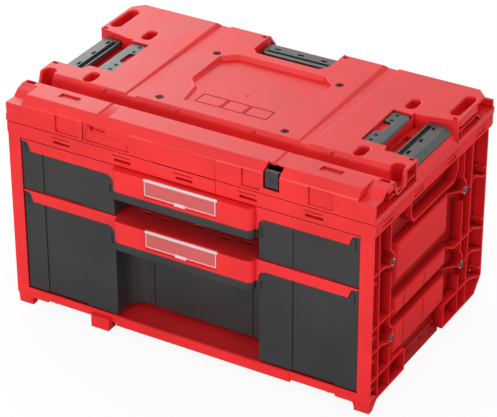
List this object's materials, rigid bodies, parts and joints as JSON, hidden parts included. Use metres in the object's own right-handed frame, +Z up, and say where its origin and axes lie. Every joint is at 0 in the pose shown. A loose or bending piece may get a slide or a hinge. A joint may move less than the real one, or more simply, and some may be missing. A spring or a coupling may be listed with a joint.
{
  "type": "tool box with drawers",
  "caption": "Portable stacking tool box: a red ribbed chest with pull-out drawers on ball runners, clear label covers and a screwed-on cover that takes another box on top.",
  "frame": {"origin": "middle of the footprint, on the ground under the feet", "axes": "+Z up, -Y the front with the drawers, +X the right-hand side seen from the front"},
  "size_m": [0.585, 0.373, 0.342],
  "materials": {
    "red_plastic": "satin moulded, fine texture",
    "grey_plastic": "satin moulded, fine texture",
    "plate_plastic": "satin moulded",
    "steel": "zinc plated",
    "clear_plastic": "clear moulded"
  },
  "bodies": {
    "chest": {"chest_shell": "red_plastic", "left_side_wall": "red_plastic", "right_side_wall": "red_plastic", "top_cover": "red_plastic", "cover_screws": "steel", "left_outer_plate": "plate_plastic", "left_inner_plate": "plate_plastic", "right_outer_plate": "plate_plastic", "right_inner_plate": "plate_plastic", "rear_plate": "plate_plastic", "left_runner_screws": "steel", "right_runner_screws": "steel", "left_runner_washers": "steel", "right_runner_washers": "steel", "upper_left_fixed_rail": "steel", "upper_right_fixed_rail": "steel", "lower_left_fixed_rail": "steel", "lower_right_fixed_rail": "steel", "lock_spring": "steel"},
    "upper_drawer": {"upper_tub": "grey_plastic", "upper_fascia": "red_plastic", "upper_drawer_rails": "steel", "upper_rail_rivets": "steel"},
    "lower_drawer": {"lower_tub": "grey_plastic", "lower_fascia": "red_plastic", "lower_drawer_rails": "steel", "lower_rail_rivets": "steel"},
    "upper_middle": {"upper_middle_rails": "steel", "upper_ball_rows": "steel"},
    "lower_middle": {"lower_middle_rails": "steel", "lower_ball_rows": "steel"},
    "upper_label": {"upper_label_cover": "clear_plastic"},
    "lower_label": {"lower_label_cover": "clear_plastic"},
    "lock": {"lock_slider": "grey_plastic"}
  },
  "joints": [
    {"name": "upper_drawer_slide", "type": "slide", "parent": "chest", "child": "upper_drawer", "axis": [0, -1, 0], "range_m": [0, 0.28]},
    {"name": "lower_drawer_slide", "type": "slide", "parent": "chest", "child": "lower_drawer", "axis": [0, -1, 0], "range_m": [0, 0.28]},
    {"name": "upper_middle_slide", "type": "slide", "parent": "chest", "child": "upper_middle", "axis": [0, -1, 0], "range_m": [0, 0.14]},
    {"name": "lower_middle_slide", "type": "slide", "parent": "chest", "child": "lower_middle", "axis": [0, -1, 0], "range_m": [0, 0.14]},
    {"name": "upper_label_hinge", "type": "hinge", "parent": "upper_drawer", "child": "upper_label", "pos_m": [0, -0.1832, 0.2748], "axis": [-1, 0, 0], "range_deg": [0, 100]},
    {"name": "lower_label_hinge", "type": "hinge", "parent": "lower_drawer", "child": "lower_label", "pos_m": [0, -0.1832, 0.1928], "axis": [-1, 0, 0], "range_deg": [0, 100]},
    {"name": "lock_slide", "type": "slide", "parent": "chest", "child": "lock", "axis": [0, 0, 1], "range_m": [0, 0.01]}
  ],
  "couplings": [
    {"joint": "upper_middle_slide", "follows": "upper_drawer_slide", "ratio": 0.5},
    {"joint": "lower_middle_slide", "follows": "lower_drawer_slide", "ratio": 0.5}
  ]
}
